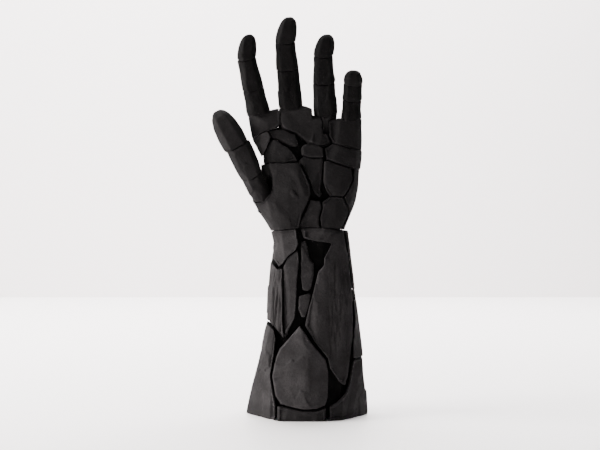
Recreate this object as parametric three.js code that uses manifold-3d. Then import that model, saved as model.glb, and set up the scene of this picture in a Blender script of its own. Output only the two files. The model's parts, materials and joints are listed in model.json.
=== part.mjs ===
// Passive positionable left hand and forearm prosthesis with fracture-pattern stone plates.
// Millimetres, +Z up along the forearm, palm towards -Y, thumb towards -X, standing on three feet.
import * as THREE from "three";
import { ConvexGeometry } from "three/addons/geometries/ConvexGeometry.js";
import { mergeVertices } from "three/addons/utils/BufferGeometryUtils.js";
import Module from "manifold-3d";

const wasm = await Module();
wasm.setup();

// ---------- driving dimensions ----------
const forearmLength = 171; // floor to the wrist seam
const palmLength = 100; // wrist seam to the knuckle line
const palmWidth = 100; // index side to little finger side
const forearmWidth = 100; // across the shell, at the nominal outline
const palmPlateThickness = 6.5;
const forearmPlateThickness = 7;
const crackWidth = 0.75; // open joint between neighbouring plates
const seatGap = 0.3; // between a plate and the core that it is bonded to
const wristGap = 0.4; // turning clearance at the wrist seam
const seamSlope = 0.2; // the wrist seam falls this much for each millimetre away from the turning axis
const socketWall = 4;
const socketFloorGap = 2; // the socket's rim stays this far above the floor
const hingeGap = 0.35; // between a knuckle barrel and the cup around it
const tongueWidth = 5;
const tongueSideGap = 0.3;
const pinRadius = 1.5;
const pinGap = 0.25;
const pinRecess = 1.4; // a pin's ends sit this far below the finger's sides
const trunnionReach = 1.6;
const spindleRadius = 8;
const spindleGap = 0.4;
const flangeThickness = 9;
const thumbDrumRadius = 8.6;
const thumbPostRadius = 4;
const knuckleSideRoom = 1.3; // beside a finger that sinks between two neighbouring knuckle blocks

const barrelSides = 24;
const pinSides = 16;
const seamSides = 48;
const far = 90; // longer than any cut needs
const knucklePlane = -14; // Y of the palmar face at the knuckles
const leanPlane = -18; // Y where the palm's outlines are true
const jointLean = [-0.14, -0.12]; // how far they move across and up for each millimetre further back
const tall = 400; // taller than the whole limb

// ---------- solids ----------
function solidOf(geometry) {
  geometry.deleteAttribute("normal");
  geometry.deleteAttribute("uv");
  const merged = mergeVertices(geometry);
  const vertProperties = new Float32Array(merged.attributes.position.array);
  const triVerts = new Uint32Array(merged.index.array);
  return new wasm.Manifold(new wasm.Mesh({ numProp: 3, vertProperties, triVerts }));
}

function geometryOf(solid) {
  const mesh = solid.getMesh();
  const geometry = new THREE.BufferGeometry();
  const positions = new Float32Array(mesh.vertProperties);
  geometry.setAttribute("position", new THREE.BufferAttribute(positions, 3));
  geometry.setIndex(new THREE.BufferAttribute(new Uint32Array(mesh.triVerts), 1));
  geometry.computeVertexNormals();
  return geometry;
}

function hullOf(points) {
  return solidOf(new ConvexGeometry(points));
}

function boxOf([x0, x1], [y0, y1], [z0, z1]) {
  const box = new THREE.BoxGeometry(x1 - x0, y1 - y0, z1 - z0);
  box.translate((x0 + x1) / 2, (y0 + y1) / 2, (z0 + z1) / 2);
  return solidOf(box);
}

// A cylinder along X, centred on (0, y, z).
function axle(radius, length, [y, z] = [0, 0], sides = barrelSides) {
  const cylinder = new THREE.CylinderGeometry(radius, radius, length, sides);
  cylinder.rotateZ(Math.PI / 2);
  cylinder.translate(0, y, z);
  return solidOf(cylinder);
}

// A cylinder along Z from z0 to z1.
function post(radius, [x, y], [z0, z1], sides = barrelSides) {
  const cylinder = new THREE.CylinderGeometry(radius, radius, z1 - z0, sides);
  cylinder.rotateX(Math.PI / 2);
  cylinder.translate(x, y, (z0 + z1) / 2);
  return solidOf(cylinder);
}

// An outline in the XZ plane, extruded along Y from y0 to y1.
function prismOf(outline, [y0, y1]) {
  const shape = new THREE.Shape(outline.map(([x, z]) => new THREE.Vector2(x, z)));
  const prism = new THREE.ExtrudeGeometry(shape, { depth: y1 - y0, bevelEnabled: false });
  prism.rotateX(Math.PI / 2);
  prism.translate(0, y1, 0);
  return solidOf(prism);
}

// Moves every edge of an outline inwards by a distance; a negative distance grows it.
function inset(outline, distance) {
  const points = outline.map(([x, z]) => new THREE.Vector2(x, z));
  const turn = THREE.ShapeUtils.area(points) > 0 ? 1 : -1;
  return points.map((corner, index) => {
    const before = points[(index + points.length - 1) % points.length];
    const after = points[(index + 1) % points.length];
    const into = corner.clone().sub(before).normalize();
    const outOf = after.clone().sub(corner).normalize();
    const bisector = new THREE.Vector2(-into.y - outOf.y, into.x + outOf.x).multiplyScalar(turn);
    const spread = Math.max(1 + into.dot(outOf), 0.4);
    return [corner.x + (bisector.x * distance) / spread, corner.y + (bisector.y * distance) / spread];
  });
}

// One closed ring of the limb's skin: a squared oval between four sides.
function skinRing([z, left, right, front, back], grow) {
  const corners = 16;
  const squareness = 0.66;
  const bend = (value) => Math.sign(value) * Math.abs(value) ** squareness;
  const ring = [];
  for (let corner = 0; corner < corners; corner += 1) {
    const angle = ((corner + 0.5) / corners) * 2 * Math.PI;
    const x = (left + right) / 2 + ((right - left) / 2 + grow) * bend(Math.cos(angle));
    const y = (front + back) / 2 + ((back - front) / 2 + grow) * bend(Math.sin(angle));
    ring.push(new THREE.Vector3(x, y, z));
  }
  return ring;
}

// The solid inside a stack of skin rings, grown outwards by a distance.
function skinOf(rows, grow = 0) {
  const rings = rows.map((row) => skinRing(row, grow));
  let solid = hullOf([...rings[0], ...rings[1]]);
  for (let level = 1; level < rings.length - 1; level += 1) {
    solid = solid.add(hullOf([...rings[level], ...rings[level + 1]]));
  }
  return solid;
}

// ---------- the limb's skin: height, left, right, palmar and dorsal faces ----------
const forearmShape = [
  [0, -59, 51.5, -42, 39],
  [0.07, -57.5, 51.5, -41, 38],
  [0.22, -50.5, 48, -38, 36],
  [0.36, -45, 46, -35.5, 34],
  [0.5, -40, 43, -32.5, 32],
  [0.64, -39, 40, -29.5, 29],
  [0.8, -36.5, 37, -26, 26],
  [0.9, -33.5, 35.5, -23.5, 24],
  [1, -37.5, 33, -22, 22],
];
const palmShape = [
  [-0.08, -34, 30, -20.5, 19.5],
  [0.09, -46, 36.5, -23, 18.5],
  [0.2, -52, 40.5, -24.5, 17],
  [0.31, -50, 42.5, -24.5, 16],
  [0.44, -43.5, 43.5, -22.5, 15],
  [0.58, -43.5, 45.5, -19.5, 13.5],
  [0.73, -52, 46.3, -17, 12],
  [0.87, -55, 46, -15, 9],
  [1.05, -57.5, 45.5, -14, 7],
];
const forearmZ = (share) => share * forearmLength;
const palmZ = (share) => forearmLength + wristGap + share * palmLength;
const forearmX = (x) => (x * forearmWidth) / 100;
const palmX = (x) => (x * palmWidth) / 100;
const forearmRows = forearmShape.map(([share, left, right, front, back]) => [
  forearmZ(share), forearmX(left), forearmX(right), front, back,
]);
const palmRows = palmShape.map(([share, left, right, front, back]) => [
  palmZ(share), palmX(left), palmX(right), front, back,
]);

// Outlines are drawn 100 wide, the palm's 100 and the forearm's 171 tall, and stretch with both parts.
const onPalm = (outline) => outline.map(([x, z]) => [palmX(x), palmZ(z / 100)]);
const onForearm = (outline) => outline.map(([x, z]) => [forearmX(x), forearmZ(z / 171)]);

// A prism over an outline of the palm. Its sides lean with depth, so no crack is open straight through.
function palmPrism(outline, growth, sides) {
  const [across, up] = jointLean;
  const lean = new THREE.Matrix4().set(
    1, across, 0, -across * leanPlane,
    0, 1, 0, 0,
    0, up, 1, -up * leanPlane,
    0, 0, 0, 1,
  );
  return prismOf(inset(onPalm(outline), -growth), sides).transform(lean.elements);
}

const forearmPrism = (outline, growth, sides) => prismOf(inset(onForearm(outline), -growth), sides);

// Everything under the wrist seam, a shallow cone round the turning axis with its tip at a height.
function belowSeam(tip) {
  const drop = seamSlope * far;
  const cone = new THREE.ConeGeometry(far, drop, seamSides);
  cone.rotateX(Math.PI / 2);
  cone.translate(0, 0, tip - drop / 2);
  return solidOf(cone).add(boxOf([-far, far], [-far, far], [-1, tip - drop]));
}

// ---------- materials and nodes ----------
const looks = {
  stone: { color: 0x2b2b2d, roughness: 0.78, metalness: 0 },
  core: { color: 0x0e0e10, roughness: 0.65, metalness: 0 },
  pin: { color: 0x8c8f94, roughness: 0.35, metalness: 1 },
};

function node(name, solid, look) {
  const mesh = new THREE.Mesh(geometryOf(solid), new THREE.MeshStandardMaterial(looks[look]));
  mesh.name = name;
  return mesh;
}

// ---------- knuckle hinges ----------
// Frame: the axis runs along X through the origin, the limb goes up Z, and its palmar face is at -reach.
// The lower piece ends in a barrel, the upper piece cups it and reaches a tongue down into its slot.
function hingeOf(reach, radius, range) {
  const cupRadius = radius + hingeGap;
  return { reach, radius, cupRadius, range, rise: Math.sqrt(cupRadius ** 2 - reach ** 2) };
}

const neckRadius = (hinge) => hinge.reach - 0.3;

function tongueOf(hinge, hasTrunnions) {
  const neck = axle(neckRadius(hinge), tongueWidth);
  const root = boxOf(
    [-tongueWidth / 2, tongueWidth / 2],
    [-neckRadius(hinge), neckRadius(hinge)],
    [0, hinge.cupRadius + 1.5],
  );
  const tongue = neck.add(root);
  return hasTrunnions
    ? tongue.add(axle(pinRadius, tongueWidth + 2 * trunnionReach, [0, 0], pinSides))
    : tongue.subtract(axle(pinRadius + pinGap, far, [0, 0], pinSides));
}

// Everything that the tongue sweeps through, from a little past one limit to a little past the other.
function slotOf(hinge) {
  const spare = THREE.MathUtils.degToRad(3);
  const [low, high] = hinge.range.map((angle) => THREE.MathUtils.degToRad(angle));
  const radius = neckRadius(hinge) + hingeGap;
  const width = tongueWidth + 2 * tongueSideGap;
  const reach = 3 * hinge.radius;
  const centres = [[0, 0]];
  for (const angle of [low - spare, (low + high) / 2, high + spare]) {
    centres.push([-Math.sin(angle) * reach, Math.cos(angle) * reach]);
  }
  const points = [];
  for (const [y, z] of centres) {
    for (let side = 0; side < barrelSides; side += 1) {
      const angle = (side / barrelSides) * 2 * Math.PI;
      for (const x of [-width / 2, width / 2]) {
        points.push(new THREE.Vector3(x, y + radius * Math.cos(angle), z + radius * Math.sin(angle)));
      }
    }
  }
  return hullOf(points);
}

// Rounds a lower piece's top into its barrel and cuts the tongue's slot and the pin's bore.
function withBarrel(body, hinge, hasTrunnions) {
  const above = boxOf([-far, far], [-far, far], [0, far]).subtract(axle(hinge.radius, 3 * far));
  const boreLength = hasTrunnions ? tongueWidth + 2 * (trunnionReach + pinGap) : far;
  const bore = axle(pinRadius + pinGap, boreLength, [0, 0], pinSides);
  return body.subtract(above).subtract(slotOf(hinge)).subtract(bore);
}

// Hollows an upper piece's root into the cup, trims its thin back lip and adds the tongue.
function withCup(body, hinge, hasTrunnions) {
  const lip = 0.5 * hinge.radius;
  const below = boxOf([-far, far], [-far, far], [-far, lip]);
  return body.subtract(axle(hinge.cupRadius, 3 * far)).subtract(below).add(tongueOf(hinge, hasTrunnions));
}

// An eight-sided slice across a finger, with bevelled corners.
function slice({ z, width, front, back, shift = 0, bevel = 0.26 }) {
  const cut = bevel * Math.min(width, front + back);
  const half = width / 2;
  return [
    [half - cut, -front], [half, cut - front], [half, back - cut], [half - cut, back],
    [cut - half, back], [-half, back - cut], [-half, cut - front], [cut - half, -front],
  ].map(([x, y]) => new THREE.Vector3(x + shift, y, z));
}

function stackOf(slices) {
  const rings = slices.map(slice);
  let solid = hullOf([...rings[0], ...rings[1]]);
  for (let level = 1; level < rings.length - 1; level += 1) {
    solid = solid.add(hullOf([...rings[level], ...rings[level + 1]]));
  }
  return solid;
}

// A phalanx between two hinges, drawn in the frame of its lower hinge.
function phalanxOf(lower, upper, span, widths, trunnions, flare = 0.6, shifts = [0, 0]) {
  const root = { width: widths[0], front: lower.reach, back: lower.radius, shift: shifts[0] };
  const head = { width: widths[1], front: upper.reach, back: upper.radius, shift: shifts[1] };
  const waist = {
    width: (root.width + head.width) / 2 + flare,
    front: (root.front + head.front) / 2 + flare,
    back: (root.back + head.back) / 2,
    shift: (root.shift + head.shift) / 2,
  };
  const blank = stackOf([
    { ...root, z: 0.3 * lower.radius },
    { ...root, z: lower.rise + 0.5 },
    { ...waist, z: (lower.rise + span) / 2 },
    { ...head, z: span },
    { ...head, z: span + 1.2 * upper.radius },
  ]);
  const barrel = withBarrel(blank.translate([0, 0, -span]), upper, trunnions[1]).translate([0, 0, span]);
  return withCup(barrel, lower, trunnions[0]);
}

// A fingertip's slices: shares of its length, width, palmar and dorsal depth, and sideways shift.
const tipProfile = [
  [0.34, 1.04, 1.2, 0.96, 0.3],
  [0.62, 0.95, 1.14, 0.84, 0.65],
  [0.83, 0.76, 0.9, 0.62, 0.9],
  [0.95, 0.5, 0.55, 0.36, 1],
  [1, 0.26, 0.25, 0.15, 1],
];

// A fingertip: a pad that swells forwards, then a rounded, slanted tip.
function fingertipOf(lower, length, width, shift, hasTrunnions) {
  const root = { width, front: lower.reach, back: lower.radius };
  const slices = [{ ...root, z: 0.3 * lower.radius }, { ...root, z: lower.rise + 0.8 }];
  for (const [up, across, front, back, aside] of tipProfile) {
    slices.push({
      z: lower.rise + up * length,
      width: across * width,
      front: front * lower.reach,
      back: back * lower.radius,
      shift: aside * shift,
      bevel: 0.3,
    });
  }
  return withCup(stackOf(slices), lower, hasTrunnions);
}

// ---------- fingers ----------
// Crease: where the finger leaves the palm, across and above the wrist seam. Lengths and widths run
// from the palm to the tip; curls are the rest angles of the three joints.
const knuckleRange = [-8, 75];
const middleRange = [0, 74];
const endRange = [0, 50];
const fingers = {
  index: {
    crease: [-46.4, 95.7], lean: -12.5, lengths: [22.2, 27.6, 22.4], widths: [21.3, 19.3, 17],
    reach: [8, 7, 6], radius: [11.5, 10, 8.5], curl: [3, 5, 6], tipShift: 5.6,
  },
  middle: {
    crease: [-18, 101.1], lean: -5, lengths: [33.5, 24.3, 23.8], widths: [21.4, 20.4, 18],
    reach: [8, 7, 6], radius: [11.5, 10, 8.5], curl: [3, 4, 5], tipShift: 5,
  },
  ring: {
    crease: [13.1, 93.9], lean: -2.5, lengths: [28.8, 24.4, 20.4], widths: [21.2, 20.4, 17.4],
    reach: [8, 7, 6], radius: [11.5, 10, 8.5], curl: [3, 5, 6], tipShift: 3.6,
  },
  little: {
    crease: [36, 90.3], lean: 2, lengths: [17.1, 15.3, 13.8], widths: [18.8, 17.4, 16.6],
    reach: [7.5, 6.5, 5.5], radius: [10, 8.6, 7.5], curl: [3, 6, 14], tipShift: 0,
  },
};

function fingerPlan({ crease, lean, lengths, widths: nominalWidths, reach, radius }) {
  const widths = nominalWidths.map(palmX);
  const ranges = [knuckleRange, middleRange, endRange];
  const hinges = ranges.map((range, i) => hingeOf(reach[i], radius[i], range));
  const spans = [0, 1].map((i) => lengths[i] + hinges[i].rise - hinges[i + 1].rise);
  const tilt = THREE.MathUtils.degToRad(lean);
  const axisPoint = [
    palmX(crease[0]) - Math.sin(tilt) * hinges[0].rise,
    knucklePlane + reach[0],
    palmZ(crease[1] / 100) - Math.cos(tilt) * hinges[0].rise,
  ];
  const pinLengths = widths.map((width) => width - 2 * pinRecess);
  return { hinges, spans, tilt, axisPoint, widths, pinLengths };
}

function jointGroup(position, bend) {
  const group = new THREE.Group();
  group.position.set(...position);
  group.rotation.x = THREE.MathUtils.degToRad(bend);
  return group;
}

function fingerOf(name, finger) {
  const { hinges, spans, tilt, axisPoint, widths, pinLengths } = fingerPlan(finger);
  const root = new THREE.Group();
  root.position.set(...axisPoint);
  root.rotation.y = tilt;
  const knuckle = jointGroup([0, 0, 0], finger.curl[0]);
  const middle = jointGroup([0, 0, spans[0]], finger.curl[1]);
  const end = jointGroup([0, 0, spans[1]], finger.curl[2]);
  const [w0, w1, w2] = widths;
  const proximal = phalanxOf(hinges[0], hinges[1], spans[0], [w0, w1], [false, false]);
  const middlePhalanx = phalanxOf(hinges[1], hinges[2], spans[1], [w1, w2], [false, true]);
  const tip = fingertipOf(hinges[2], finger.lengths[2], w2, finger.tipShift, true);
  root.add(node(`${name}_knuckle_pin`, axle(pinRadius, pinLengths[0], [0, 0], pinSides), "pin"), knuckle);
  knuckle.add(node(`${name}_proximal`, proximal, "stone"), middle);
  const middlePin = node(`${name}_middle_pin`, axle(pinRadius, pinLengths[1], [0, 0], pinSides), "pin");
  middlePin.position.z = spans[0];
  knuckle.add(middlePin);
  middle.add(node(`${name}_middle`, middlePhalanx, "stone"), end);
  end.add(node(`${name}_distal`, tip, "stone"));
  return root;
}

// ---------- thumb ----------
// The base turns on an upright post in the heel of the palm; its knuckle and end joint bend forwards.
const thumb = {
  crease: [-51.9, 38.1], lean: -26, turn: 2, lengths: [30.6, 38.5], widths: [18.5, 22.8], shifts: [0.6, 1.4],
  reach: [8, 8], radius: [9.6, 10], ranges: [[-5, 40], [-5, 45]],
  depth: -12, swivel: [-43, -10], opposition: 60, tipShift: -1.5,
};
const thumbDrumBottom = 18.5; // above the wrist seam
const thumbDrumHeight = 8;
const thumbPostLength = 9;
const thumbRecessGap = 0.7;
const thumbRootRoom = 2.4; // round the thumb's root, along the first stretch over its knuckle
const thumbPostGap = 0.4;

function thumbPlan() {
  const hinges = thumb.ranges.map((range, i) => hingeOf(thumb.reach[i], thumb.radius[i], range));
  const tilt = THREE.MathUtils.degToRad(thumb.lean);
  const x = palmX(thumb.crease[0]) - Math.sin(tilt) * hinges[0].rise;
  const z = palmZ(thumb.crease[1] / 100) - Math.cos(tilt) * hinges[0].rise;
  const span = thumb.lengths[0] + hinges[0].rise - hinges[1].rise;
  const turned = new THREE.Matrix4().makeRotationY(tilt);
  turned.multiply(new THREE.Matrix4().makeRotationZ(THREE.MathUtils.degToRad(thumb.turn)));
  turned.setPosition(x, thumb.depth, z);
  return { hinges, tilt, span, turned, axisPoint: [x, thumb.depth, z] };
}

const swivelPoint = () => [palmX(thumb.swivel[0]), thumb.swivel[1]];
const drumBottom = () => palmZ(thumbDrumBottom / 100);

// Slices of the thumb from its root upwards, grown by a gap, in the frame of its knuckle.
function thumbRootSlices(grow, heights) {
  const [front, back] = [thumb.reach[0] + grow, thumb.radius[0] + grow];
  const width = thumb.widths[0] + 2 * grow;
  return heights.map((z) => ({ z, width, front, back, shift: thumb.shifts[0], bevel: 0.3 }));
}

// The rims of the drum that the thumb's base turns on, grown by a gap.
function drumRim(grow) {
  const [x, y] = swivelPoint();
  const points = [];
  for (let side = 0; side < pinSides; side += 1) {
    const angle = (side / pinSides) * 2 * Math.PI;
    const [dx, dy] = [Math.cos(angle), Math.sin(angle)].map((share) => share * (thumbDrumRadius + grow));
    for (const z of [drumBottom() - grow, drumBottom() + thumbDrumHeight + grow]) {
      points.push(new THREE.Vector3(x + dx, y + dy, z));
    }
  }
  return points;
}

function thumbBase() {
  const { hinges, turned } = thumbPlan();
  const bottom = drumBottom();
  const headPoints = thumbRootSlices(0, [-1, 0]).map(slice).flat();
  const headSlices = headPoints.map((point) => point.applyMatrix4(turned));
  const head = stackOf(thumbRootSlices(0, [-1, 0, 1.2 * thumb.radius[0]])).transform(turned.elements);
  const stalk = post(thumbPostRadius, swivelPoint(), [bottom - thumbPostLength, bottom + 1], pinSides);
  const blank = hullOf([...headSlices, ...drumRim(0)]).add(head).add(stalk);
  const upright = blank.transform(turned.clone().invert().elements);
  return withBarrel(upright, hinges[0], true).transform(turned.elements);
}

function thumbOf() {
  const { hinges, tilt, span, axisPoint } = thumbPlan();
  const thumbGroup = new THREE.Group();
  thumbGroup.add(node("thumb_base", thumbBase(), "stone"));
  const lean = new THREE.Group();
  lean.position.set(...axisPoint);
  lean.rotation.y = tilt;
  const knuckle = new THREE.Group();
  knuckle.rotation.z = THREE.MathUtils.degToRad(thumb.turn);
  const proximal = phalanxOf(hinges[0], hinges[1], span, thumb.widths, [true, true], 1.2, thumb.shifts);
  knuckle.add(node("thumb_proximal", proximal, "stone"));
  const end = jointGroup([0, 0, span], 0);
  const tip = fingertipOf(hinges[1], thumb.lengths[1], thumb.widths[1], thumb.tipShift, true);
  end.add(node("thumb_distal", tip, "stone"));
  knuckle.add(end);
  lean.add(knuckle);
  thumbGroup.add(lean);
  return thumbGroup;
}

// The room that the thumb's root sweeps through as it swings into opposition, and its post's bore.
function thumbRecess() {
  const { turned } = thumbPlan();
  const [x, y] = swivelPoint();
  const bottom = drumBottom() - thumbRecessGap;
  const toAxis = new THREE.Matrix4().makeTranslation(-x, -y, 0);
  const root = thumbRootSlices(thumbRootRoom, [-6, 26]).map(slice).flat();
  const points = drumRim(thumbRecessGap);
  for (let angle = 0; angle <= thumb.opposition + 4; angle += 16) {
    const swing = new THREE.Matrix4().makeRotationZ(THREE.MathUtils.degToRad(angle));
    const place = toAxis.clone().invert().multiply(swing).multiply(toAxis).multiply(turned);
    points.push(...root.map((point) => point.clone().applyMatrix4(place)));
  }
  const swept = hullOf(points).intersect(boxOf([-far, far], [-far, far], [bottom, tall]));
  const boreHeights = [bottom - thumbPostLength, bottom + 1];
  return swept.add(post(thumbPostRadius + thumbPostGap, [x, y], boreHeights, pinSides));
}

// ---------- palm ----------
const palmSides = [-far, 1.2]; // the palmar plates wrap round to just past the middle of the sides
const dorsalSides = [1.2 + crackWidth, far];
const lapPlane = -9.6; // wings of the neighbouring blocks cover the ring finger's block in front of this

const blockOutlines = {
  index: [[-70, 76], [-52, 76], [-41, 81], [-31, 84], [-26.5, 88], [-28.5, 120], [-70, 120]],
  middle: [
    [-24.5, 84], [-12.5, 80], [-2, 71], [8, 68], [20, 70.5], [14.5, 82.5], [10, 94], [3.5, 120],
    [-28.5, 120], [-26.5, 88],
  ],
  little: [[16.5, 91], [14.5, 82.5], [20, 70.5], [35, 66], [60, 65], [60, 120], [24, 120], [22.5, 94]],
};
const ringColumn = [[3, 120], [3, 74], [12, 71.5], [24.5, 75], [24.5, 120]];

const palmPlates = [
  {
    name: "index_ray_slab", lift: -1.6,
    outline: [
      [-38, 82], [-31, 84], [-24.5, 84], [-13.5, 79], [-10, 70], [-12.5, 67.5], [-19, 68],
      [-31.5, 75], [-35, 76.5],
    ],
    chisels: [[[-24, -15.5, 76], [0.15, -1, 0.35]]],
  },
  {
    name: "web_plate", lift: 0.8,
    outline: [[-70, 76], [-52, 76], [-41, 81], [-38, 82], [-35, 76.5], [-38.5, 67], [-44, 56], [-52, 66]],
    chisels: [[[-42, -17.5, 70], [-0.7, -1, 0]]],
  },
  {
    name: "web_slab", lift: -0.4,
    outline: [
      [-44, 56], [-38.5, 67], [-35, 74], [-30, 74.5], [-27, 71.5], [-19, 66], [-15, 61], [-11, 54],
      [-25, 52.5], [-42, 54],
    ],
    chisels: [[[-30, -18.5, 60], [-0.2, -1, 0.3]]],
  },
  {
    name: "thenar_plate", lift: 1.8,
    outline: [
      [-70, 54], [-42, 54], [-25, 52.5], [-11, 53], [-6, 42.5], [-2, 33.5], [-1, 25.5], [-4.5, 15.5],
      [-9, 6], [-12, -12], [-70, -12],
    ],
    chisels: [
      [[-22, -26.5, 30], [-0.45, -1, 0.1]], [[-20, -26.5, 30], [0.3, -1, 0.05]],
      [[-24, -25.2, 44], [0, -1, 0.4]],
      [[-24, -25.5, 14], [-0.2, -1, -0.3]],
    ],
  },
  {
    name: "centre_pebble", lift: 0.6,
    outline: [[-9, 65], [-8, 68.5], [-2, 71], [8, 68], [10.8, 66], [11, 57], [0, 57], [-8, 59.5]],
    chisels: [[[2, -19.6, 63], [0.2, -1, -0.4]]],
  },
  {
    name: "lifeline_blade", lift: -1,
    outline: [
      [-11.5, 55], [-6, 59.5], [0, 57], [11, 57], [10, 47], [9, 36], [8, 29], [9.5, 24.5], [7, 21],
      [2, 26],
      [-1, 33.5], [-7, 47],
    ],
    chisels: [[[1, -20.5, 44], [-0.45, -1, 0]]],
  },
  {
    name: "ulnar_band", lift: 0.5,
    outline: [
      [12, 66], [20, 70.5], [35, 66], [60, 65], [60, 50], [37, 48.5], [29, 50.5], [21, 53], [13.5, 56],
    ],
    chisels: [[[28, -19.4, 58], [0.1, -1, 0.25]]],
  },
  {
    name: "hypothenar_plate", lift: 0.2,
    outline: [
      [11, 54.5], [14, 55], [29, 49.8], [37, 47.7], [37, 38], [33, 29], [28.5, 22.5], [16.5, 22.5],
      [12.5, 28], [10, 36], [10.5, 47],
    ],
    chisels: [[[22, -23, 38], [0.25, -1, 0]], [[16, -23, 46], [-0.1, -1, 0.3]]],
  },
  {
    name: "ulnar_edge_strip", lift: 0,
    outline: [
      [38, 48], [60, 49.5], [60, -12], [24, -12], [34.5, 9], [33, 14], [28.5, 22.5], [33, 29], [37.5, 38],
    ],
    chisels: [],
  },
  {
    name: "heel_wedge", lift: -0.8,
    outline: [[-2, 20], [8, 19], [9, 12], [6.5, 4], [8, -12], [-14, -12], [-9, 3], [-4.5, 11]],
    chisels: [[[0, -22, 8], [-0.3, -1, -0.3]]],
  },
  {
    name: "pisiform_plate", lift: 1.2,
    outline: [
      [9, 18], [15.5, 22.5], [28, 22.5], [32.5, 14], [33.8, 9], [24, -12], [10, -12], [7.5, 4],
      [9.5, 12],
    ],
    chisels: [[[20, -24, 12], [0.15, -1, -0.35]], [[27, -22.5, 10], [0.5, -1, -0.1]]],
  },
];

const dorsalPalmPlates = [
  {
    name: "dorsal_radial_plate", lift: 0.4,
    outline: [
      [-70, -12], [-14, -12], [-18, 30], [-10, 55], [-20, 95], [-70, 95],
    ],
  },
  {
    name: "dorsal_middle_plate", lift: 1.2,
    outline: [[-14, -12], [14, -12], [20, 28], [12, 60], [18, 95], [-20, 95], [-10, 55], [-18, 30]],
  },
  {
    name: "dorsal_ulnar_plate", lift: 0.3,
    outline: [
      [14, -12], [60, -12], [60, 95], [18, 95], [12, 60], [20, 28],
    ],
  },
];

// Takes away everything beyond a plane through a point.
function chiselled(solid, [point, normal]) {
  const beyond = boxOf([-far, far], [-far, far], [0, far]);
  const facing = new THREE.Vector3(...normal).normalize();
  const turn = new THREE.Quaternion().setFromUnitVectors(new THREE.Vector3(0, 0, 1), facing);
  const place = new THREE.Matrix4().compose(new THREE.Vector3(...point), turn, new THREE.Vector3(1, 1, 1));
  return solid.subtract(beyond.transform(place.elements));
}

const palmSkin = (grow = 0) => skinOf(palmRows, grow);

// Flat cuts that set both side feet back behind the front foot: a point and the way the cut faces.
const footHews = [
  [[-34, -37, 0], [-0.83, -0.56, 0.03]],
  [[28, -39, 0], [0.835, -0.55, 0]],
];

function forearmSkin(grow = 0) {
  let skin = skinOf(forearmRows, grow);
  for (const [[x, y, z], facing] of footHews) {
    const out = new THREE.Vector3(...facing).normalize().multiplyScalar(grow);
    skin = chiselled(skin, [[forearmX(x) + out.x, y + out.y, z + out.z], facing]);
  }
  return skin;
}

// One plate of a shell: the skin inside a prism, down to the core.
function plateOf(skin, prism, lift, thickness, chisels = []) {
  let plate = skin(lift).intersect(prism);
  for (const chisel of chisels) {
    plate = chiselled(plate, chisel);
  }
  return plate.subtract(skin(-thickness));
}

// The cuts that a finger's knuckle makes in the palm, all in the palm's frame.
function knuckleCutsOf(finger) {
  const { hinges, tilt, axisPoint, widths } = fingerPlan(finger);
  const hinge = hinges[0];
  const place = new THREE.Matrix4().makeRotationY(tilt).setPosition(...axisPoint);
  const half = widths[0] / 2 + knuckleSideRoom;
  const above = boxOf([-far, far], [-far, far], [0, far]).subtract(axle(hinge.radius, 3 * far));
  const overFinger = above.intersect(boxOf([-half, half], [-far, far], [-far, far]));
  const bore = axle(pinRadius + pinGap, widths[0] + 2, [0, 0], pinSides);
  return {
    above: above.transform(place.elements),
    overFinger: overFinger.transform(place.elements),
    slot: slotOf(hinge).transform(place.elements),
    bore: bore.transform(place.elements),
  };
}

function blockOf(outline, lift) {
  return skinOf(palmRows, lift).intersect(palmPrism(outline, -crackWidth / 2, [-far, far]));
}

function knuckleBlocks() {
  const cuts = {};
  for (const [name, finger] of Object.entries(fingers)) {
    cuts[name] = knuckleCutsOf(finger);
  }
  const own = (block, { above, slot, bore }) => block.subtract(above).subtract(slot).subtract(bore);
  const middle = chiselled(blockOf(blockOutlines.middle, 0.5), [[-3, 0, palmZ(1.03)], [0.45, 0, 1]]);
  const behind = palmPrism(ringColumn, crackWidth / 2, [lapPlane, far]);
  const wingOf = (block) => block.subtract(behind).subtract(cuts.ring.overFinger).subtract(cuts.ring.slot);
  const cover = (outline) => palmPrism(outline, crackWidth / 2, [-far, lapPlane + seatGap]);
  const column = skinOf(palmRows, -0.4).intersect(palmPrism(ringColumn, 0, [-far, far]));
  const ring = column.subtract(cover(blockOutlines.middle)).subtract(cover(blockOutlines.little));
  return {
    index_knuckle: own(blockOf(blockOutlines.index, 0.8), cuts.index),
    middle_knuckle: wingOf(own(middle, cuts.middle)),
    ring_knuckle: own(ring, cuts.ring),
    little_knuckle: wingOf(own(blockOf(blockOutlines.little, 0), cuts.little)),
  };
}

// Room for all knuckle blocks, grown by a gap.
function knuckleRoom(gap) {
  let room = palmPrism(ringColumn, gap, [-far, far]);
  for (const outline of Object.values(blockOutlines)) {
    room = room.add(palmPrism(outline, gap - crackWidth / 2, [-far, far]));
  }
  return room;
}

const spindleSeatDepth = 12;
const spindleHeadRadius = 9.5;
const spindleHeadThickness = 5;

function palmChassis() {
  const core = skinOf(palmRows, -palmPlateThickness - seatGap);
  const seat = post(spindleRadius + seatGap, [0, 0], [0, palmZ(0) + spindleSeatDepth + seatGap]);
  return core.subtract(knuckleRoom(crackWidth / 2 + seatGap)).subtract(seat);
}

function wristSpindle() {
  const headTop = forearmLength - flangeThickness - spindleGap;
  const shaft = post(spindleRadius, [0, 0], [headTop - 1, palmZ(0) + spindleSeatDepth]);
  return shaft.add(post(spindleHeadRadius, [0, 0], [headTop - spindleHeadThickness, headTop]));
}

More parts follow.
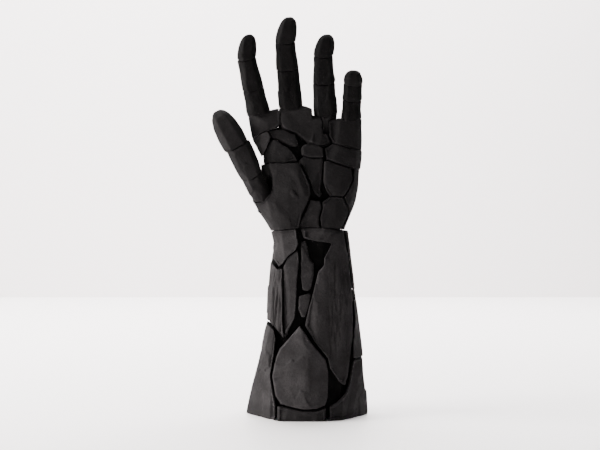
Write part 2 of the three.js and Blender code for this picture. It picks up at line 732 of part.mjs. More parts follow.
function palmOf() {
  const palm = new THREE.Group();
  let clearance = thumbRecess().add(belowSeam(palmZ(0)));
  for (const finger of Object.values(fingers)) {
    clearance = clearance.add(knuckleCutsOf(finger).slot);
  }
  palm.add(node("wrist_spindle", wristSpindle(), "pin"));
  palm.add(node("palm_chassis", palmChassis().subtract(clearance), "core"));
  for (const [name, block] of Object.entries(knuckleBlocks())) {
    palm.add(node(name, block, "stone"));
  }
  for (const { name, lift, outline, chisels } of palmPlates) {
    const prism = palmPrism(outline, -crackWidth / 2, palmSides);
    const plate = plateOf(palmSkin, prism, lift, palmPlateThickness, chisels);
    palm.add(node(name, plate.subtract(clearance), "stone"));
  }
  const knuckles = knuckleRoom(crackWidth);
  for (const { name, lift, outline } of dorsalPalmPlates) {
    const prism = palmPrism(outline, -crackWidth / 2, dorsalSides);
    const plate = plateOf(palmSkin, prism, lift, palmPlateThickness);
    palm.add(node(name, plate.subtract(knuckles).subtract(clearance), "stone"));
  }
  for (const [name, finger] of Object.entries(fingers)) {
    palm.add(fingerOf(name, finger));
  }
  palm.add(thumbOf());
  return palm;
}

// ---------- forearm ----------
const forearmSides = [-far, 0.5];
const forearmDorsalSides = [0.5 + crackWidth, far];

const forearmPlates = [
  {
    name: "radial_wrist_plate", lift: 0.5,
    outline: [
      [-60, 180], [-14.5, 180], [-12.5, 160], [-11, 152.5], [-13.5, 147], [-20, 142], [-25, 135],
      [-29, 132],
      [-33, 136.5], [-37, 141], [-60, 143],
    ],
    chisels: [[[-22, -24, 156], [-0.35, -1, 0]]],
  },
  {
    name: "long_forearm_plate", lift: 0.8,
    outline: [
      [-14.5, 180], [28, 180], [31, 156], [33.5, 138], [35.5, 122], [37.5, 104], [38, 84],
      [36, 61], [33, 37], [29.5, 29], [24, 33], [16, 44.5], [14, 53.5], [2.5, 67.5], [-6, 81.5],
      [-3, 95], [1.5, 111], [6, 129], [11, 134], [11, 140], [18, 153], [3.5, 155], [-7, 157.5],
    ],
    chisels: [[[24, -30.2, 100], [0.3, -1, 0.13]]],
  },
  {
    name: "upper_sliver", lift: -1.6,
    outline: [
      [-9.5, 156], [-4.5, 156], [-2.5, 149], [-1, 140], [2.5, 136], [2.5, 124], [0, 113.5], [-3, 111],
      [-8, 112], [-9.5, 124], [-9.5, 140],
    ],
    chisels: [],
  },
  {
    name: "lower_sliver", lift: -1,
    outline: [[-11, 108], [0, 110], [-1, 102], [-3, 94], [-5.5, 88.5], [-9, 88.5], [-12, 97]],
    chisels: [],
  },
  {
    name: "column_strip", lift: -0.4,
    outline: [
      [-11.5, 148.5], [-10.5, 136], [-12, 124], [-13, 102], [-14, 88.5], [-19, 78.5], [-23.5, 69],
      [-24.5, 84],
      [-25, 102], [-25, 132], [-21.5, 140], [-17, 144],
    ],
    chisels: [[[-19, -29.3, 110], [-0.4, -1, 0.13]]],
  },
  {
    name: "ribbed_plate", lift: 0,
    outline: [
      [-60, 139], [-38, 139], [-30, 131], [-25, 131], [-25, 84], [-23.5, 69], [-33, 79], [-41, 86],
      [-60, 86],
    ],
    chisels: [],
  },
  {
    name: "ulnar_upper_plate", lift: -0.6,
    outline: [[28, 180], [60, 180], [60, 104], [37.5, 104], [35.5, 122], [33.5, 138], [31, 156]],
    chisels: [],
  },
  {
    name: "ulnar_lower_plate", lift: 0,
    outline: [[37.5, 103], [60, 103], [60, 52], [36.5, 52], [36.5, 66], [38, 84]],
    chisels: [],
  },
  {
    name: "front_shield", lift: 4.5,
    outline: [
      [-10, 82], [1, 66], [13, 52], [15, 42], [14.5, 20], [12.5, 13.5], [4.5, 10.5], [-7, 10],
      [-27, 14], [-31.5, 21.5], [-34.4, 38], [-31.5, 53], [-28, 61.5], [-22.5, 67.5],
    ],
    chisels: [[[-4, -42, 40], [-0.2, -1, 0.12]], [[-3, -42, 40], [0.3, -1, 0.12]]],
  },
  {
    name: "front_foot", lift: 4,
    outline: [[-30, 13], [-26, 12.5], [-7, 8.7], [4.5, 9], [13, 12], [12, -5], [-30, -5]],
    chisels: [[[-8, -43.5, 0], [0, -1, 0.05]]],
  },
];

// The two side feet run round to the back in full depth.
const sideFeet = [
  {
    name: "left_foot",
    outline: [
      [-70, 84], [-41, 84], [-33, 78], [-31, 70], [-32.5, 56], [-35.6, 38], [-32.8, 21.5],
      [-31, 13], [-31, -5], [-70, -5],
    ],
  },
  {
    name: "right_foot",
    outline: [[37, 51], [70, 51], [70, -5], [15.5, -5], [15.5, 12.5], [22, 16], [30, 23], [33.5, 33]],
  },
];

const dorsalForearmPlates = [
  {
    name: "dorsal_wrist_plate", lift: 0.4,
    outline: [[-60, 180], [60, 180], [60, 108], [10, 116], [-14, 108], [-60, 122]],
  },
  {
    name: "dorsal_long_plate", lift: 1,
    outline: [
      [-60, 122], [-14, 108], [10, 116], [4, 80], [12, 46], [2, 14], [-24, 8], [-31, 40],
      [-60, 60],
    ],
  },
  {
    name: "dorsal_ulnar_shell", lift: 0.2,
    outline: [
      [60, 108], [10, 116], [4, 80], [12, 46], [2, 14], [20, 10], [60, 10],
    ],
  },
];

const flangeBottom = forearmLength - flangeThickness;
const socketHeadRoom = spindleHeadThickness + 2 * spindleGap;
const cavityTop = flangeBottom - socketHeadRoom - 2 * socketWall;

function forearmCore(from, to, wall = 0) {
  const skin = forearmSkin(-forearmPlateThickness - seatGap - wall);
  return skin.intersect(boxOf([-far, far], [-far, far], [from, to]));
}

function innerSocket() {
  const shell = forearmCore(socketFloorGap, flangeBottom - seatGap);
  const cavity = forearmCore(-1, cavityTop, socketWall);
  const headHeights = [flangeBottom - socketHeadRoom, forearmLength];
  const headRoom = post(spindleHeadRadius + spindleGap, [0, 0], headHeights);
  return shell.subtract(cavity).subtract(headRoom);
}

function wristFlange() {
  const bore = post(spindleRadius + spindleGap, [0, 0], [0, tall]);
  return forearmCore(flangeBottom, forearmLength).intersect(belowSeam(forearmLength)).subtract(bore);
}

function forearmOf() {
  const forearm = new THREE.Group();
  const seam = belowSeam(forearmLength);
  forearm.add(node("inner_socket", innerSocket(), "core"));
  forearm.add(node("wrist_flange", wristFlange(), "core"));
  for (const { name, lift, outline, chisels } of forearmPlates) {
    const prism = forearmPrism(outline, -crackWidth / 2, forearmSides);
    const plate = plateOf(forearmSkin, prism, lift, forearmPlateThickness, chisels);
    forearm.add(node(name, plate.intersect(seam), "stone"));
  }
  let footRoom = null;
  for (const { name, outline } of sideFeet) {
    const prism = forearmPrism(outline, -crackWidth / 2, [-far, far]);
    const foot = plateOf(forearmSkin, prism, 0, forearmPlateThickness);
    const room = forearmPrism(outline, crackWidth / 2, [-far, far]);
    footRoom = footRoom ? footRoom.add(room) : room;
    forearm.add(node(name, foot, "stone"));
  }
  for (const { name, lift, outline } of dorsalForearmPlates) {
    const prism = forearmPrism(outline, -crackWidth / 2, forearmDorsalSides);
    const plate = plateOf(forearmSkin, prism, lift, forearmPlateThickness);
    forearm.add(node(name, plate.subtract(footRoom).intersect(seam), "stone"));
  }
  return forearm;
}

// ---------- assembly: the origin is at the middle of the footprint, on the floor ----------
const group = new THREE.Group();
group.add(forearmOf(), palmOf());
group.updateMatrixWorld(true);
const extent = new THREE.Box3().setFromObject(group, true);
group.position.set(-(extent.min.x + extent.max.x) / 2, -(extent.min.y + extent.max.y) / 2, -extent.min.z);
export default group;
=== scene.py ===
"""Looks of a passive left hand prosthesis: cracked stone-look plates and fingers round a dark core."""
import json
import math

import bmesh
import bpy
import numpy as np
from mathutils import Matrix, Vector, kdtree, noise

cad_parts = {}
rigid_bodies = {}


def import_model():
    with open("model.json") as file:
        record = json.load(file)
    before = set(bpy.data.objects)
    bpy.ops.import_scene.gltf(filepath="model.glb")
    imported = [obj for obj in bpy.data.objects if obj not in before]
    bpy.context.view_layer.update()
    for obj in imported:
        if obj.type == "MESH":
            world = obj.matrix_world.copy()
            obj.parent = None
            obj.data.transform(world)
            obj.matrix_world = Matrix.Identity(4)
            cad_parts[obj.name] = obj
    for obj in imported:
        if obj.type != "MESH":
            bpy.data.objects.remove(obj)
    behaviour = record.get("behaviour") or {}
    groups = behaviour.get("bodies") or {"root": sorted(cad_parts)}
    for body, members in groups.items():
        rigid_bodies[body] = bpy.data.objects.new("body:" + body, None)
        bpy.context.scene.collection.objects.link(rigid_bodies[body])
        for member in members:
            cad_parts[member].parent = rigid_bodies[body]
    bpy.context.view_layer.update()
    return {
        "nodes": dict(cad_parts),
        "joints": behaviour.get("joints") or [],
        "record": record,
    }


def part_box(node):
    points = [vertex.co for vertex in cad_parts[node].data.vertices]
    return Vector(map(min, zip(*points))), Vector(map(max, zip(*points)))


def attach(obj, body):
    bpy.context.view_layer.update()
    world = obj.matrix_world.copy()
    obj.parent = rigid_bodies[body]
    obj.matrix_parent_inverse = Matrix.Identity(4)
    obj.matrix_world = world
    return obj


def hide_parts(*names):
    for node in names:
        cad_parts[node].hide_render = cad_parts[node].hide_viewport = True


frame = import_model()

MM = 0.001
VOXEL = 0.8 * MM
JOINTS = {joint["name"]: joint for joint in frame["joints"]}

# ---------- materials ----------


def node_tree(name):
    material = bpy.data.materials.new(name)
    material.use_nodes = True
    tree = material.node_tree
    shader = tree.nodes["Principled BSDF"]
    return material, tree, shader


def add_noise(tree, coords, scale, detail=6.0, roughness=0.6):
    texture = tree.nodes.new("ShaderNodeTexNoise")
    texture.inputs["Scale"].default_value = scale
    texture.inputs["Detail"].default_value = detail
    texture.inputs["Roughness"].default_value = roughness
    tree.links.new(coords, texture.inputs["Vector"])
    return texture


def add_ramp(tree, factor, stops):
    ramp = tree.nodes.new("ShaderNodeValToRGB")
    elements = ramp.color_ramp.elements
    elements[0].position, elements[0].color = stops[0][0], (*stops[0][1], 1)
    elements[1].position, elements[1].color = stops[-1][0], (*stops[-1][1], 1)
    for position, color in stops[1:-1]:
        element = elements.new(position)
        element.color = (*color, 1)
    tree.links.new(factor, ramp.inputs["Fac"])
    return ramp


def add_bump(tree, height, strength, distance, previous=None):
    bump = tree.nodes.new("ShaderNodeBump")
    bump.inputs["Strength"].default_value = strength
    bump.inputs["Distance"].default_value = distance
    tree.links.new(height, bump.inputs["Height"])
    if previous is not None:
        tree.links.new(previous.outputs["Normal"], bump.inputs["Normal"])
    return bump


def add_mix(tree, factor, first, second, blend="MIX"):
    mix = tree.nodes.new("ShaderNodeMix")
    mix.data_type = "RGBA"
    mix.blend_type = blend
    if isinstance(factor, float):
        mix.inputs["Factor"].default_value = factor
    else:
        tree.links.new(factor, mix.inputs["Factor"])
    tree.links.new(first, mix.inputs["A"])
    tree.links.new(second, mix.inputs["B"])
    return mix.outputs["Result"]


def grey(value):
    return (1.02 * value, 0.98 * value, value)


def stone_material(name, shade):
    """Matte charcoal cast stone: cloudy blotches, fine grain, open pits and paler worn edges."""
    material, tree, shader = node_tree(name)
    coords = tree.nodes.new("ShaderNodeTexCoord").outputs["Object"]
    cloud = add_noise(tree, coords, scale=45, detail=6, roughness=0.6)
    grain = add_noise(tree, coords, scale=1100, detail=4, roughness=0.7)
    dents = add_noise(tree, coords, scale=200, detail=5)
    pits = tree.nodes.new("ShaderNodeTexVoronoi")
    pits.inputs["Scale"].default_value = 420
    tree.links.new(coords, pits.inputs["Vector"])
    stops = [(0.3, grey(0.7 * shade)), (0.5, grey(shade)), (0.72, grey(1.45 * shade))]
    base = add_ramp(tree, cloud.outputs["Fac"], stops)
    speck = add_ramp(tree, grain.outputs["Fac"], [(0.35, grey(0.7)), (0.68, grey(1.2))])
    color = add_mix(tree, 0.8, base.outputs["Color"], speck.outputs["Color"], "MULTIPLY")
    wear = tree.nodes.new("ShaderNodeAttribute")
    wear.attribute_name = "wear"
    worn = add_ramp(tree, grain.outputs["Fac"], [(0.3, grey(2.2 * shade)), (0.7, grey(5 * shade))])
    color = add_mix(tree, wear.outputs["Fac"], color, worn.outputs["Color"])
    tree.links.new(color, shader.inputs["Base Color"])
    rough = add_ramp(tree, cloud.outputs["Fac"], [(0.3, (0.88,) * 3), (0.7, (0.7,) * 3)])
    tree.links.new(rough.outputs["Color"], shader.inputs["Roughness"])
    shader.inputs["Specular IOR Level"].default_value = 0.05
    bump = add_bump(tree, pits.outputs["Distance"], strength=0.3, distance=0.4 * MM)
    bump = add_bump(tree, grain.outputs["Fac"], strength=0.5, distance=0.4 * MM, previous=bump)
    bump = add_bump(tree, dents.outputs["Fac"], strength=0.4, distance=1 * MM, previous=bump)
    tree.links.new(bump.outputs["Normal"], shader.inputs["Normal"])
    return material


def core_material():
    """The near-black inner core, seen only in the cracks and from underneath."""
    material, tree, shader = node_tree("core_black")
    coords = tree.nodes.new("ShaderNodeTexCoord").outputs["Object"]
    coarse = add_noise(tree, coords, scale=120)
    color = add_ramp(tree, coarse.outputs["Fac"], [(0.3, grey(0.002)), (0.7, grey(0.005))])
    tree.links.new(color.outputs["Color"], shader.inputs["Base Color"])
    rough = add_ramp(tree, coarse.outputs["Fac"], [(0.3, (0.95,) * 3), (0.7, (0.8,) * 3)])
    tree.links.new(rough.outputs["Color"], shader.inputs["Roughness"])
    shader.inputs["Specular IOR Level"].default_value = 0.03
    bump = add_bump(tree, coarse.outputs["Fac"], strength=0.6, distance=1 * MM)
    tree.links.new(bump.outputs["Normal"], shader.inputs["Normal"])
    return material


def pin_material():
    """Blackened turned steel with fine lines along the pin."""
    material, tree, shader = node_tree("pin_steel")
    coords = tree.nodes.new("ShaderNodeTexCoord").outputs["Object"]
    stretch = tree.nodes.new("ShaderNodeMapping")
    stretch.inputs["Scale"].default_value = (0.05, 1, 1)
    tree.links.new(coords, stretch.inputs["Vector"])
    lines = add_noise(tree, stretch.outputs["Vector"], scale=2500, detail=2)
    color = add_ramp(tree, lines.outputs["Fac"], [(0.3, grey(0.03)), (0.7, grey(0.06))])
    tree.links.new(color.outputs["Color"], shader.inputs["Base Color"])
    rough = add_ramp(tree, lines.outputs["Fac"], [(0.3, (0.45,) * 3), (0.7, (0.3,) * 3)])
    tree.links.new(rough.outputs["Color"], shader.inputs["Roughness"])
    shader.inputs["Metallic"].default_value = 1.0
    return material


# One stone in four shades of grey, darkest on the fingers: only the forearm's shade is the stone's own,
# the others are painted light and shade.
STONES = {
    # Painted shade: the fingers' stone is made darker than the forearm's.
    "digit": stone_material("stone_black_digit_painted_shade", 0.0035),
    # Painted shade: the other hand pieces' stone is made darker than the forearm's.
    "palm": stone_material("stone_black_palm_painted_shade", 0.0095),
    "forearm": stone_material("stone_black_forearm", 0.0155),
    # Painted light: the web plate and front shield get a paler stone than the forearm's.
    "pale": stone_material("stone_black_painted_light", 0.0215),
}
CORE = core_material()
PIN = pin_material()

# ---------- meshes ----------
WELD = 1e-6


def clean_copy(node):
    """A welded copy of a CAD node's mesh."""
    piece = bpy.data.objects.new("visual_" + node.name, node.data.copy())
    bpy.context.scene.collection.objects.link(piece)
    mesh = bmesh.new()
    mesh.from_mesh(piece.data)
    bmesh.ops.remove_doubles(mesh, verts=mesh.verts, dist=WELD)
    mesh.to_mesh(piece.data)
    mesh.free()
    return piece


def apply_modifiers(piece):
    graph = bpy.context.evaluated_depsgraph_get()
    mesh = bpy.data.meshes.new_from_object(piece.evaluated_get(graph))
    piece.modifiers.clear()
    piece.data = mesh


def remesh(piece):
    voxels = piece.modifiers.new("remesh", "REMESH")
    voxels.mode = "VOXEL"
    voxels.voxel_size = VOXEL
    voxels.adaptivity = 0
    apply_modifiers(piece)


def vertices_of(mesh):
    points = np.empty(len(mesh.vertices) * 3)
    mesh.vertices.foreach_get("co", points)
    return points.reshape(-1, 3)


def read_mesh(mesh):
    edges = np.empty(len(mesh.edges) * 2, dtype=np.int64)
    mesh.edges.foreach_get("vertices", edges)
    normals = np.empty(len(mesh.vertices) * 3)
    mesh.vertices.foreach_get("normal", normals)
    return vertices_of(mesh), edges.reshape(-1, 2), normals.reshape(-1, 3)


def smoothed(values, edges, rounds):
    """Values averaged along the mesh's edges, again and again."""
    total = np.ones(len(values))
    np.add.at(total, edges[:, 0], 1)
    np.add.at(total, edges[:, 1], 1)
    for _ in range(rounds):
        gathered = values.copy()
        np.add.at(gathered, edges[:, 0], values[edges[:, 1]])
        np.add.at(gathered, edges[:, 1], values[edges[:, 0]])
        values = gathered / total[:, None]
    return values


def unit(vectors):
    return vectors / np.maximum(np.linalg.norm(vectors, axis=-1, keepdims=True), 1e-9)


def fractal(points, scale, octaves, seed):
    """Smooth noise from about -1 to 1 at each point; scale is one number, or one for each axis."""
    places = points * np.broadcast_to(scale, 3) + np.array([1.0, 2.7, 1.3]) * seed
    return np.array([noise.fractal(place, 1.0, 2.0, octaves) for place in places])


# ---------- knuckles: a plain barrel in a plain cup, without the slot and tongue inside ----------
SLOT_HALF = 2.8 * MM  # from the middle of a knuckle to its slot's wall
SLOT_NEAR = 17 * MM  # a slot's rim lies within this distance of the joint's axis
RIM_BAND = 0.03 * MM
POCKET_HALF = 4.6 * MM  # from the middle of a knuckle to just past a trunnion's pocket
PLUG_LAP = 0.3 * MM
TONGUE_CLEAR = 5 * MM  # past this distance from the middle, a cup has no tongue
CUP_CORNERS = 24
CUTTER_CORNERS = 96
CUTTER_LENGTH = 80 * MM
KNUCKLES = [joint for name, joint in JOINTS.items() if name not in ("wrist_rotation", "thumb_swivel")]


def lower_node(joint):
    """The CAD node that carries a joint's barrel: a knuckle block in the palm, or the phalanx below."""
    return joint["name"] if joint["parent"] == "hand" else joint["parent"]


def along_and_off(points, joint):
    """Each point's place along a joint's axis and its distance from it."""
    origin = np.array(joint["pos_m"])
    axis = unit(np.array(joint["axis"]))
    along = (points - origin) @ axis
    off = np.linalg.norm(points - origin - along[:, None] * axis, axis=1)
    return along, off, axis


def fill_slot(piece, joint, has_pockets):
    """Adds a plug from rim to rim of the slot and a little past it; the remesh joins it to the piece."""
    points = vertices_of(piece.data)
    along, off, axis = along_and_off(points, joint)
    rim = points[(np.abs(np.abs(along) - SLOT_HALF) < RIM_BAND) & (off < SLOT_NEAR)]
    side = np.sign((rim - np.array(joint["pos_m"])) @ axis)
    spread = (POCKET_HALF - SLOT_HALF) if has_pockets else PLUG_LAP
    plug = rim + (side * spread)[:, None] * axis
    mesh = bmesh.new()
    mesh.from_mesh(piece.data)
    corners = [mesh.verts.new(corner) for corner in plug]
    hull = bmesh.ops.convex_hull(mesh, input=corners)
    inside = [item for item in hull["geom_interior"] if isinstance(item, bmesh.types.BMVert)]
    bmesh.ops.delete(mesh, geom=inside, context="VERTS")
    mesh.to_mesh(piece.data)
    mesh.free()


def clear_cup(piece, joint):
    """Cuts the tongue out of a phalanx's cup."""
    points = vertices_of(piece.data)
    along, off, axis = along_and_off(points, joint)
    radius = off[np.abs(along) > TONGUE_CLEAR].min() / math.cos(math.pi / CUP_CORNERS)
    mesh = bmesh.new()
    turn = Vector((0, 0, 1)).rotation_difference(Vector(axis)).to_matrix().to_4x4()
    place = Matrix.Translation(joint["pos_m"]) @ turn
    bmesh.ops.create_cone(
        mesh, cap_ends=True, segments=CUTTER_CORNERS, radius1=radius, radius2=radius,
        depth=CUTTER_LENGTH, matrix=place,
    )
    cutter = bpy.data.objects.new("cutter", bpy.data.meshes.new("cutter"))
    mesh.to_mesh(cutter.data)
    mesh.free()
    bpy.context.scene.collection.objects.link(cutter)
    cut = piece.modifiers.new("cup", "BOOLEAN")
    cut.operation = "DIFFERENCE"
    cut.solver = "EXACT"
    cut.object = cutter
    apply_modifiers(piece)
    bpy.data.objects.remove(cutter)


def plain_knuckles(piece, name):
    """Leaves a piece's barrels and cups plain. The middle block also laps over the ring finger's slot."""
    for joint in KNUCKLES:
        if joint["child"] == name:
            clear_cup(piece, joint)
    for joint in KNUCKLES:
        if lower_node(joint) == name:
            has_pockets = joint["name"].endswith("end_joint") or joint["name"] == "thumb_knuckle"
            fill_slot(piece, joint, has_pockets)
    if name == "middle_knuckle":
        fill_slot(piece, JOINTS["ring_knuckle"], False)


# ---------- carving ----------
socket_low, socket_high = (np.array(corner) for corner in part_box("inner_socket"))
AXIS = (socket_low + socket_high) / 2
WRIST = np.array(JOINTS["wrist_rotation"]["pos_m"])
# A cone parallel to the wrist seam, about 1.5 mm under the forearm plates' upper faces.
RIM_CONE_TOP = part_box("wrist_flange")[1][2] + 0.15 * MM
RIM_CONE_SLOPE = 0.2
RIM_BAND_HALF = 1.1 * MM
BODIES = frame["record"]["behaviour"]["bodies"]

# Broad facets of each piece: where on its front (share of its width and height), which way the
# facet faces and how many millimetres it cuts in there.
FACETS = {
    "left_foot": [
        (0.75, 0.15, (0.3, -1.0, -0.05), 2.2),
        (0.75, 0.6, (0.3, -1.0, 0.1), 1.5),
    ],
    "right_foot": [
        (0.35, 0.35, (-0.25, -1.0, 0.05), 1.6),
        (0.75, 0.4, (0.7, -1.0, 0.15), 1.2),
        (0.5, 0.85, (0.1, -1.0, 0.45), 0.8),
    ],
    "front_shield": [(0.42, 0.85, (-0.3, -1.0, 0.35), 0.5), (0.5, 0.1, (0.0, -1.0, -0.35), 0.6)],
    "front_foot": [(0.25, 0.5, (-0.4, -1.0, 0.1), 0.8), (0.75, 0.5, (0.3, -1.0, 0.1), 0.8)],
    "thenar_plate": [
        (0.3, 0.2, (-0.75, -1.0, -0.35), 1.3),
        (0.55, 0.5, (-0.25, -1.0, 0.05), 0.7),
        (0.8, 0.75, (0.3, -1.0, 0.2), 1.0),
        (0.72, 0.25, (0.25, -1.0, -0.3), 0.9),
    ],
    "radial_wrist_plate": [
        (0.35, 0.6, (-0.9, -1.0, 0.05), 0.7),
        (0.7, 0.3, (-0.25, -1.0, 0.15), 0.8),
    ],
    "ribbed_plate": [(0.3, 0.5, (-0.8, -1.0, 0.1), 0.8), (0.75, 0.4, (-0.3, -1.0, 0.0), 0.6)],
    "column_strip": [(0.3, 0.6, (-0.7, -1.0, 0.05), 0.8), (0.7, 0.3, (-0.2, -1.0, -0.2), 0.6)],
    "long_forearm_plate": [
        (0.3, 0.85, (-0.2, -1.0, 0.3), 0.8),
        (0.35, 0.45, (-0.35, -1.0, 0.1), 0.9),
        (0.75, 0.4, (0.45, -1.0, 0.05), 1.2),
        (0.62, 0.7, (0.15, -1.0, 0.1), 0.7),
    ],
    "index_knuckle": [(0.3, 0.4, (-0.6, -1.0, 0.1), 0.8), (0.7, 0.55, (-0.1, -1.0, 0.3), 0.6)],
    "middle_knuckle": [(0.4, 0.85, (-0.1, -1.0, 0.75), 1.2), (0.75, 0.5, (0.4, -1.0, 0.1), 0.8)],
    "little_knuckle": [(0.3, 0.5, (-0.3, -1.0, 0.2), 0.7), (0.75, 0.5, (0.35, -1.0, 0.0), 0.7)],
    "web_plate": [(0.4, 0.6, (-0.9, -1.0, 0.1), 0.8)],
    "web_slab": [(0.25, 0.5, (-0.6, -1.0, 0.1), 0.9), (0.7, 0.35, (0.2, -1.0, -0.1), 0.7)],
    "hypothenar_plate": [(0.7, 0.6, (0.4, -1.0, 0.1), 0.8), (0.3, 0.3, (-0.15, -1.0, -0.2), 0.6)],
    "pisiform_plate": [(0.3, 0.7, (-0.2, -1.0, 0.3), 0.6), (0.75, 0.4, (0.5, -1.0, -0.1), 0.7)],
    "ulnar_band": [(0.3, 0.6, (-0.1, -1.0, 0.3), 0.6), (0.75, 0.4, (0.35, -1.0, -0.1), 0.7)],
    "lifeline_blade": [(0.3, 0.6, (-0.5, -1.0, 0.0), 0.6), (0.7, 0.5, (0.3, -1.0, 0.0), 0.5)],
}

# Long fine grooves: how deep, and the stretch of the piece's width and height that holds them.
GROOVES = {
    "ribbed_plate": (1.9, (0.25, 1.0), (0.0, 1.0)),
    "long_forearm_plate": (1.7, (0.5, 0.95), (0.15, 0.8)),
    "ulnar_edge_strip": (0.6, (0.0, 1.0), (0.0, 1.0)),
    "dorsal_long_plate": (0.8, (0.3, 0.7), (0.1, 0.9)),
}
GROOVE_PITCH = 2.6 * MM
GROOVE_STRETCH = 0.07
GROOVE_FADE = 0.1  # share of the stretch over which grooves fade out at its edges
GROOVE_START = 0.3

DEEPEST_FACET = 3.2 * MM
FACET_REACH = 0.08  # a facet's depth is measured at the highest point within this share of its middle

# Chance chisel cuts: millimetres between them, their tilt, the deepest cut, and the deepest edge chip.
DIGIT_CUTS = (10, 0.1, 0.6, 0.25)
PLATE_CUTS = (15, 0.07, 0.9, 0.7)
FEWEST_POINTS = 20
MOST_TRIES = 4000
CUTS_NEARBY = 4
CUT_SIDE = 0.35  # chance cuts go where the surface faces outwards at least this much

SOFTENING_ROUNDS = 6  # smoothing of the normals that the points move along
CREST_ROUNDS = 14  # smoothing that shows how far an edge stands out, its crest
PATCH_SIZE = 6 * MM  # edges chip and wear in patches about this large
GRIT_SIZE = 2.2 * MM
GRIT_HEIGHT = 0.12  # millimetres
GRIT_SEED = 5
CREST_START = 0.3 * MM  # wear starts at this crest
CREST_SPAN = 0.8 * MM  # and is full this much further out
WORN_EDGE = 0.4

# Pieces given a paler stone as painted light.
PAINTED_LIGHT_PIECES = {"web_plate", "front_shield"}
DIGIT_ENDINGS = ("proximal", "middle", "distal", "base")


def is_digit(name):
    return name.split("_")[-1] in DIGIT_ENDINGS


# Picks each piece's shade: painted light on the web plate and front shield, painted shade on the fingers
# and other hand pieces, the stone's own on the forearm.
def look_of(name, body):
    if name in PAINTED_LIGHT_PIECES:
        return "pale"
    if is_digit(name) and not name.startswith("thumb"):
        return "digit"
    return "forearm" if body == "root" else "palm"


def shares_of(points):
    """Each point's share of the piece's width and height."""
    low, high = points.min(axis=0), points.max(axis=0)
    return (points - low) / (high - low)


def planned_cuts(points, facets):
    """How far inwards the broad facets push each point."""
    cuts = np.zeros(len(points))
    shares = shares_of(points)
    for across, up, facing, depth in facets:
        facing = unit(np.array(facing))
        near = np.hypot(shares[:, 0] - across, shares[:, 2] - up) < FACET_REACH
        if not near.any():
            continue
        height = points @ facing
        cuts = np.maximum(cuts, np.clip(height - height[near].max() + depth * MM, 0, DEEPEST_FACET))
    return cuts


def chance_cuts(points, normals, rng, spacing, tilt, deepest, outer):
    """How far inwards small flat chisel cuts, spread over the outer surface, push each point."""
    candidates = np.flatnonzero(outer)
    if len(candidates) < FEWEST_POINTS:
        return np.zeros(len(points))
    seeds = []
    for index in rng.permutation(candidates)[:MOST_TRIES]:
        if all(np.sum((points[index] - points[other]) ** 2) > spacing**2 for other in seeds):
            seeds.append(index)
    tree = kdtree.KDTree(len(seeds))
    for number, index in enumerate(seeds):
        tree.insert(points[index], number)
    tree.balance()
    facing = unit(normals[seeds] + tilt * rng.normal(size=(len(seeds), 3)))
    origin = points[seeds] - facing * rng.uniform(0.05, 0.5, size=(len(seeds), 1)) * deepest
    cuts = np.zeros(len(points))
    for index in candidates:
        near = [number for _, number, _ in tree.find_n(points[index], CUTS_NEARBY)]
        height = np.einsum("ij,ij->i", points[index] - origin[near], facing[near])
        cuts[index] = min(max(height.max(), 0.0), deepest)
    return cuts


def groove_cuts(points, outer, depth, across, up, seed):
    """Long fine grooves, like split slate, in one stretch of the piece."""
    shares = shares_of(points)
    lines = fractal(points, np.array([1, 1, GROOVE_STRETCH]) / GROOVE_PITCH, 2, seed)
    inside = np.minimum(shares[:, 0] - across[0], across[1] - shares[:, 0])
    inside = np.minimum(inside, np.minimum(shares[:, 2] - up[0], up[1] - shares[:, 2]) * 2)
    fade = np.clip(inside / GROOVE_FADE + GROOVE_START, 0, 1) * np.clip(2 * outer, 0, 1)
    return np.clip(lines + 0.1, 0, 1) * depth * MM * fade


def outward_facing(points, normals):
    """1 where the surface faces away from the limb's axis, -1 where it faces in."""
    away = unit((points - AXIS) * np.array([1, 1, 0.0]))
    return np.einsum("ij,ij->i", away, normals)


def rim_cone(points):
    """The height of the rim's cone at each point's distance from the wrist's axis."""
    return RIM_CONE_TOP - RIM_CONE_SLOPE * np.hypot(*(points - WRIST)[:, :2].T)


def flattened_under_rim(points, moved):
    """Draws the forearm plates' narrow band under their upper rim together onto the rim's cone."""
    before = rim_cone(points)
    after = rim_cone(moved)
    in_band = np.abs(points[:, 2] - before) < RIM_BAND_HALF
    moved[in_band, 2] = after[in_band]
    return moved


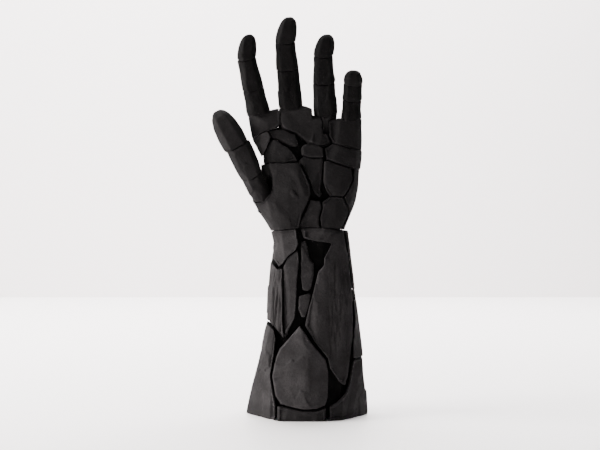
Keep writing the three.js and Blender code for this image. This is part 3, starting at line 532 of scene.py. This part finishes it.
def carve(piece, name, seed):
    """Turns a remeshed block into chiselled stone: facets, grooves, chipped edges and a rough skin."""
    rng = np.random.default_rng(seed)
    spacing, tilt, deepest, chip = DIGIT_CUTS if is_digit(name) else PLATE_CUTS
    points, edges, normals = read_mesh(piece.data)
    soft_normals = unit(smoothed(normals, edges, SOFTENING_ROUNDS))
    crest = np.einsum("ij,ij->i", points - smoothed(points, edges, CREST_ROUNDS), soft_normals)
    outer = outward_facing(points, soft_normals)
    cuts = chance_cuts(points, soft_normals, rng, spacing * MM, tilt, deepest * MM, outer > CUT_SIDE)
    cuts = np.maximum(cuts, planned_cuts(points, FACETS.get(name, [])) * np.clip(3 * outer, 0, 1))
    if name in GROOVES:
        cuts += groove_cuts(points, outer, *GROOVES[name], seed)
    patch = fractal(points, 1 / PATCH_SIZE, 2, seed)
    erosion = np.clip(1.4 * patch, 0.0, 1.0) * np.clip(crest, 0, chip * MM)
    grit = np.abs(fractal(points, 1 / GRIT_SIZE, 3, seed + GRIT_SEED)) * GRIT_HEIGHT * MM
    inwards = cuts + erosion + grit * np.clip(outer + 0.4, 0, 1)
    moved = points - soft_normals * inwards[:, None]
    if name in BODIES["root"]:
        moved = flattened_under_rim(points, moved)
    piece.data.vertices.foreach_set("co", moved.ravel())
    wear = piece.data.attributes.new("wear", "FLOAT", "POINT")
    edge = np.clip((crest - CREST_START) / CREST_SPAN, 0, 1) * np.clip(0.3 + patch, 0, 1)
    wear.data.foreach_set("value", (WORN_EDGE * edge).astype(np.float32))
    piece.data.update()
    for polygon in piece.data.polygons:
        polygon.use_smooth = True


def dress(piece, material):
    piece.data.materials.clear()
    piece.data.materials.append(material)


def stone_piece(name, body, seed):
    piece = clean_copy(frame["nodes"][name])
    plain_knuckles(piece, name)
    remesh(piece)
    carve(piece, name, seed)
    dress(piece, STONES[look_of(name, body)])
    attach(piece, body)
    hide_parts(name)


def dress_nodes():
    slots = {part["node"]: part["material_slot"] for part in frame["record"]["subparts"]}
    seed = 0
    for body, names in BODIES.items():
        for name in names:
            seed += 1
            if slots[name] == "stone_black":
                stone_piece(name, body, seed)
            else:
                dress(frame["nodes"][name], PIN if slots[name] == "pin_steel" else CORE)


dress_nodes()

# ---------- stage, light and camera ----------


def plane(name, corners, material):
    mesh = bpy.data.meshes.new(name)
    mesh.from_pydata(corners, [], [(0, 1, 2, 3)])
    item = bpy.data.objects.new(name, mesh)
    bpy.context.scene.collection.objects.link(item)
    item.data.materials.append(material)


def plain(name, color, roughness):
    material, tree, shader = node_tree(name)
    shader.inputs["Base Color"].default_value = (*color, 1)
    shader.inputs["Roughness"].default_value = roughness
    return material


def soft_light(name, place, aim, size, power, color=(1, 1, 1)):
    light = bpy.data.lights.new(name, "AREA")
    light.shape = "RECTANGLE"
    light.size, light.size_y = size
    light.energy = power
    light.color = color
    item = bpy.data.objects.new(name, light)
    item.location = place
    item.rotation_euler = (Vector(aim) - Vector(place)).to_track_quat("-Z", "Y").to_euler()
    bpy.context.scene.collection.objects.link(item)


SIDE = 6
NEAR = -4
WALL = 1.61
CEILING = 4
floor_corners = [(-SIDE, NEAR, 0), (SIDE, NEAR, 0), (SIDE, WALL, 0), (-SIDE, WALL, 0)]
wall_corners = [(-SIDE, WALL, 0), (SIDE, WALL, 0), (SIDE, WALL, CEILING), (-SIDE, WALL, CEILING)]
plane("floor", floor_corners, plain("floor_white", (0.93, 0.905, 0.905), 0.5))
plane("wall", wall_corners, plain("wall_white", (0.80, 0.765, 0.765), 0.9))

world = bpy.data.worlds.new("studio")
world.use_nodes = True
world.node_tree.nodes["Background"].inputs["Color"].default_value = (1, 0.99, 0.99, 1)
world.node_tree.nodes["Background"].inputs["Strength"].default_value = 0.2
bpy.context.scene.world = world
soft_light(
    "window", place=(-1.5, -0.2, 0.55), aim=(0, 0, 0.2), size=(1.0, 1.0), power=115,
    color=(1, 0.97, 0.94),
)
soft_light(
    "wall_wash", place=(-0.3, 0.8, 1.5), aim=(-0.2, WALL, 0.5), size=(3.0, 0.5), power=100,
    color=(1, 0.98, 0.98),
)
soft_light("overhead", place=(0.1, 0.8, 1.8), aim=(0.05, 0.5, 0), size=(1.6, 1.2), power=75)

# The camera looks level at the palm from one metre away, a little below the wrist's seam.
DISTANCE = 1.0
SIDESTEP = 0.0099
EYE_HEIGHT = 0.1694
camera_data = bpy.data.cameras.new("camera")
camera_data.sensor_width = 36
camera_data.lens = 66.7
camera = bpy.data.objects.new("camera", camera_data)
camera.location = (WRIST[0] - SIDESTEP, WRIST[1] - DISTANCE, EYE_HEIGHT)
camera.rotation_euler = (math.pi / 2, 0, 0)
bpy.context.scene.collection.objects.link(camera)
bpy.context.scene.camera = camera
